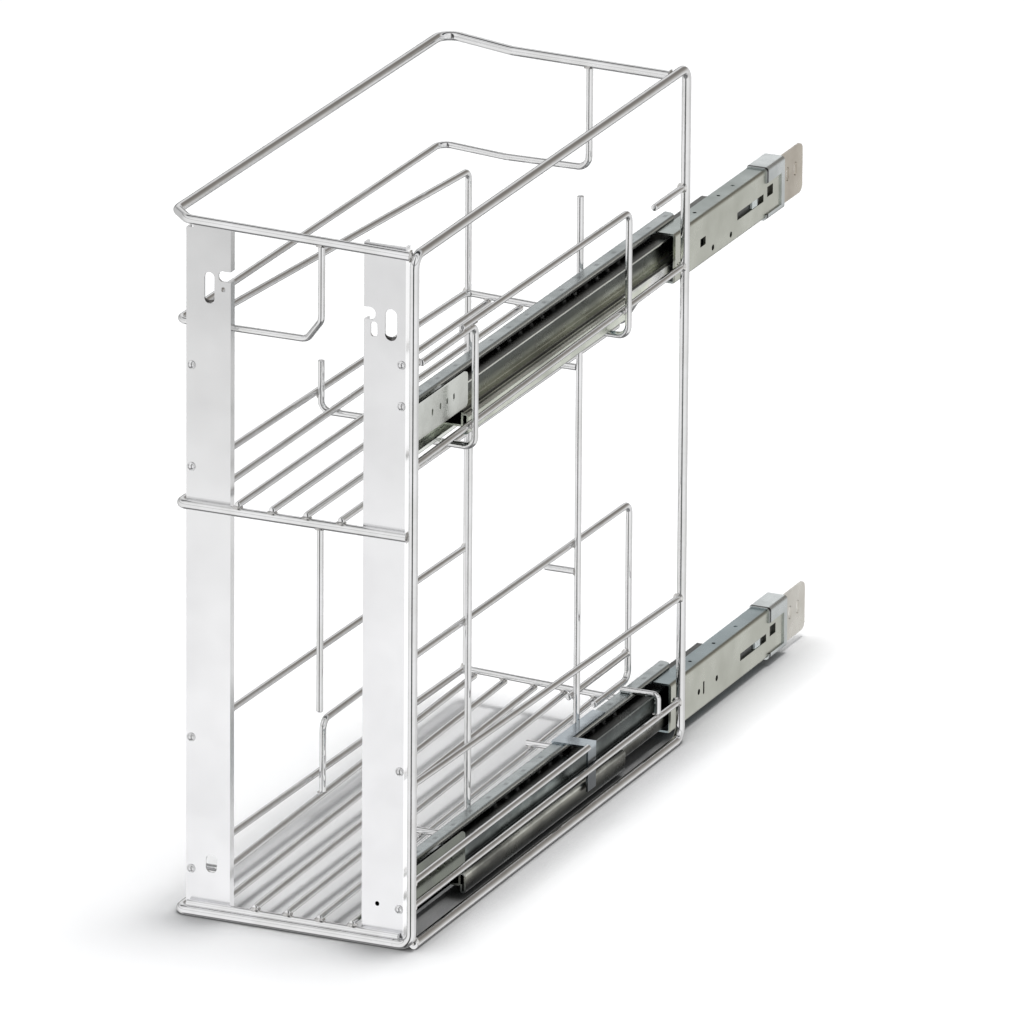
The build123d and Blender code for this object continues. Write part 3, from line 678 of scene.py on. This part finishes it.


# painted light and shade on the channel by height: dark inside, a lighter lip, a greyer top flange
CHANNEL_PAINTED_SHADE_BANDS = (
    (8, 0.14), (17.5, 0.08), (18.4, 0.75), (21.0, (0.77, 0.75, 0.70)),
    (22.3, (0.60, 0.63, 0.64)), (22.6, (0.60, 0.62, 0.61)))
CHANNEL_INSIDE_X = 160.6
DENT_START, DENT_PITCH, DENT_LENGTH = 72.0, 32.0, 3.4
for side, level in SLIDE_Z.items():
    channel_zinc = plated(side + "_channel_zinc", (0.80, 0.83, 0.84), (0.62, 0.66, 0.67),
                          cloud=50.0, smooth=0.16, rough=0.34, cover=0.3)
    tinted(channel_zinc, HEIGHT, [(level + place, tone) for place, tone in CHANNEL_PAINTED_SHADE_BANDS],
           CHANNEL_INSIDE_X)
    tree = channel_zinc.node_tree
    if side == "upper":
        # painted light: the upper channel's foot is painted pale at its front end
        front_end = axis_band(tree, ALONG, ((204.75, 1.0), (214.75, 0.0)))
        below = axis_band(tree, HEIGHT, ((level - 9.6, 1.0), (level - 9.2, 0.0)))
        painted_light_foot = math_node(tree, "MULTIPLY", front_end, below)
        marked(channel_zinc, painted_light_foot, (0.92, 0.95, 0.90))
    # painted shade: a dark spot for each pressed dent on the top flange
    painted_dent_shade = every(tree, ALONG, DENT_START, DENT_PITCH, DENT_LENGTH)
    painted_dent_shade = math_node(tree, "MULTIPLY", painted_dent_shade, axis_band(
        tree, ACROSS, ((164.2, 0.0), (165.0, 1.0), (167.2, 1.0), (168.0, 0.0))))
    painted_dent_shade = math_node(tree, "MULTIPLY", painted_dent_shade, axis_band(
        tree, HEIGHT, ((level + 22, 0.0), (level + 22.4, 0.7))))
    marked(channel_zinc, painted_dent_shade, (0.10, 0.11, 0.12))
    paint_nodes(channel_zinc, side + "_channel")

# ---------------------------------------------------------------------------
# Middle members: thicker rolled sheet with a stepped web and a skirt rib below,
# zinc plated. Grease lies on them in long smears, thicker on the lower slide.

SMEAR_SCALE, SMEAR_STRETCH = 16.0, (1.0, 0.9, 2.5)


def smudged(paint, least, most):
    """Long soft smears along the slide, where the grease film is thick or thin."""
    tree, socket, plain = colour_of(paint)
    stretch = add_node(tree, "ShaderNodeVectorMath", operation="MULTIPLY")
    tree.links.new(add_node(tree, "ShaderNodeTexCoord").outputs["Object"], stretch.inputs[0])
    stretch.inputs[1].default_value = SMEAR_STRETCH
    smear = ramp_node(tree, noise_in(tree, SMEAR_SCALE, stretch.outputs[0], 4.0, 0.6),
                      ((0.36, least), (0.64, most)), "EASE")
    tree.links.new(mix_node(tree, 1.0, plain, smear, "MULTIPLY"), socket)


# painted highlights, reflections and shade on the web by height from the slide's
# middle line, from skirt to top, darker on the lower slide
MIDDLE_PAINTED_LIGHT_BANDS = {
    "upper": (
        (-22, (0.36, 0.46, 0.50)), (-20.2, (0.40, 0.48, 0.50)), (-19.3, (0.98, 1.0, 0.95)),
        (-8, (0.95, 0.97, 0.91)), (-6.4, 0.95), (-4.7, 0.95), (-4.3, 0.04), (-2.8, 0.05),
        (-1.6, (0.85, 0.86, 0.80)), (2.0, (0.50, 0.51, 0.47)), (6.0, (0.17, 0.18, 0.17)),
        (13.0, (0.07, 0.08, 0.08)), (13.8, 0.95), (15.2, 0.80), (15.45, 0.03), (16, 0.03)),
    "lower": (
        (-22, (0.05, 0.055, 0.06)), (-12, (0.10, 0.10, 0.095)), (-8, (0.28, 0.27, 0.25)),
        (-6.4, (0.75, 0.76, 0.76)), (-4.7, 0.60), (-4.3, 0.03), (-2.0, (0.12, 0.14, 0.15)),
        (3.0, (0.30, 0.33, 0.34)), (7.0, (0.16, 0.19, 0.20)), (13.0, (0.05, 0.06, 0.06)),
        (13.8, (0.70, 0.73, 0.75)), (15.2, (0.45, 0.48, 0.50)), (15.45, 0.03), (16, 0.03))}
SMEAR_RANGE = {"upper": (0.82, 1.12), "lower": (0.45, 1.5)}
for side, level in SLIDE_Z.items():
    middle_zinc = plated(side + "_middle_zinc", (0.93, 0.95, 0.89), (0.80, 0.82, 0.76),
                         cloud=26.0, smooth=0.22, rough=0.36, ripple=26.0, bump=0.0002,
                         cover=0.3)
    tinted(middle_zinc, HEIGHT, [(level + place, tone) for place, tone in MIDDLE_PAINTED_LIGHT_BANDS[side]])
    smudged(middle_zinc, *SMEAR_RANGE[side])
    if side == "upper":
        # painted light: the upper web is painted lighter towards its back end
        tinted(middle_zinc, ALONG, ((134.75, 0.85), (424.75, 0.95), (494.75, 1.5),
                                    (564.75, 1.7)))
    paint_nodes(middle_zinc, side + "_middle_member")

# ---------------------------------------------------------------------------
# Cabinet rails: rolled sheet, zinc plated a little yellower than the rack's
# channels, screwed to the cabinet's side. Painted shade makes the flanges darker
# and bluer than the web, more so on the lower rail, with a dark line at the bend.

FLANGE_PAINTED_SHADE = {"upper": (0.56, 0.61, 0.64), "lower": (0.40, 0.47, 0.53)}
for side, flange_shade in FLANGE_PAINTED_SHADE.items():
    rail_zinc = plated(side + "_rail_zinc", (0.86, 0.865, 0.80), (0.74, 0.745, 0.68),
                       cloud=22.0, smooth=0.22, rough=0.40, cover=0.24)
    # painted shade: dark bluish flanges, a dark bend line and a slightly darker web
    tinted(rail_zinc, ACROSS, ((172, flange_shade), (184.5, flange_shade), (186.4, (0.56, 0.56, 0.52)),
                               (187.0, (0.70, 0.71, 0.68)), (188.5, (0.70, 0.72, 0.72))))
    paint_nodes(rail_zinc, side + "_cabinet_rail")

# ---------------------------------------------------------------------------
# Rear clips and plates: a zinc-plated clip wraps each rail's end. A painted
# shade darkens its outer face a little, and a painted dark band at its front edge
# stands for the shade in a gap there. The slotted mounting plate sticks out
# behind it, painted dark as shade up to the rail's end.

RAIL_END = {"upper": 695.0, "lower": 710.0}
CLIP_LENGTH, PLATE_INSIDE_X = 34.0, 184.6
PLATE_TONES = {"upper": ((0.62, 0.57, 0.49), (0.52, 0.47, 0.40)),
               "lower": ((0.78, 0.76, 0.70), (0.70, 0.67, 0.61))}
for side, end in RAIL_END.items():
    clip_zinc = plated(side + "_clip_zinc", (0.80, 0.84, 0.84), (0.66, 0.70, 0.70), cloud=40.0,
                       smooth=0.22, rough=0.40, cover=0.24)
    # painted shade: the clip's outer face is darkened a little
    tinted(clip_zinc, ACROSS, ((187.2, 1.0), (187.8, 0.82)))
    front = end - CLIP_LENGTH
    # painted shade: a dark band for the gap at the clip's front edge
    tinted(clip_zinc, ALONG, ((front + 0.6, 0.8), (front + 1.0, 0.05), (front + 3.4, 0.05),
                              (front + 4.0, 1.0)))
    paint_nodes(clip_zinc, side + "_rear_clip")
    clean, dull = PLATE_TONES[side]
    plate_zinc = plated(side + "_plate_zinc", clean, dull, cloud=45.0, smooth=0.24, rough=0.40)
    # painted shade: the plate's inner face is dark up to the rail's end and pale where it sticks out
    tinted(plate_zinc, ALONG, ((end - 50, 0.05), (end - 3, 0.06), (end + 1, 0.9),
                               (end + 50, 1.0)), PLATE_INSIDE_X)
    paint_nodes(plate_zinc, side + "_rear_plate")

# ---------------------------------------------------------------------------
# Front brackets: pressed zinc-plated tabs at the front of each channel, painted
# bright on the upper slide and dark on the lower one, as painted light and shade.
# The lower slide has one bracket more, over its middle.

BRACKET_PAINTED_LIGHT = {"upper": 0.72, "lower": 0.18}
for side, painted_light_level in BRACKET_PAINTED_LIGHT.items():
    clean = (painted_light_level, painted_light_level + 0.02, painted_light_level - 0.02)
    dull = (0.8 * painted_light_level, 0.82 * painted_light_level, 0.77 * painted_light_level)
    bracket_zinc = plated(side + "_bracket_zinc", clean, dull, smooth=0.14, rough=0.28)
    paint_nodes(bracket_zinc, side + "_front_bracket")
middle_bracket_zinc = plated("middle_bracket_zinc", (0.26, 0.29, 0.31), (0.18, 0.20, 0.22),
                             smooth=0.12, rough=0.26)
# painted shade and light: the middle bracket is painted dark, darker at its foot and lighter at its
# top
tinted(middle_bracket_zinc, HEIGHT, ((26, 0.35), (40, 1.0), (43, 2.0)))
paint_nodes(middle_bracket_zinc, "lower_middle_bracket")

# ---------------------------------------------------------------------------
# Ball trains: hardened steel balls in pressed black cages, two rows to each
# train. The inner train runs in the channel and the outer one in the rail.

BALL_PITCH, BLUR = 20.0, 0.2
TRAINS = (("inner", 529.0, 16.75, 1.2), ("outer", 210.0, 18.25, 2.6))
for side, level in SLIDE_Z.items():
    for stage, first_ball, row_off, radius in TRAINS:
        cage = plated(side + "_" + stage + "_cage", (0.030, 0.031, 0.032),
                      (0.055, 0.055, 0.055), speck=(0.2, 0.2, 0.2), cloud=90.0, smooth=0.10,
                      rough=0.24, metal=0.9)
        tree = cage.node_tree
        rows = []
        for row in (level - row_off, level + row_off):
            rows += [(row - radius, 0.0), (row - radius + BLUR, 1.0),
                     (row + radius - BLUR, 1.0), (row + radius, 0.0)]
        balls = every(tree, ALONG, first_ball, BALL_PITCH, 2 * radius - 2 * BLUR)
        balls = math_node(tree, "MULTIPLY", balls, axis_band(tree, HEIGHT, rows))
        marked(cage, balls, (0.95, 0.95, 0.95))
        paint_nodes(cage, side + "_" + stage + "_ball_train")

# ---------------------------------------------------------------------------
# Damper catches: moulded plastic, black inside, with a pale face that shows in
# the rail's long slot. They are pushed into the cabinet rails.

nylon = plated("damper_plastic", (0.05, 0.055, 0.055), (0.09, 0.09, 0.085),
               speck=(0.2, 0.2, 0.19), smooth=0.35, rough=0.55, metal=0.0)
tinted(nylon, ACROSS, ((185.2, 1.0), (185.3, 14.0), (187.2, 15.0)))
paint_nodes(nylon, "upper_damper_catch", "lower_damper_catch")
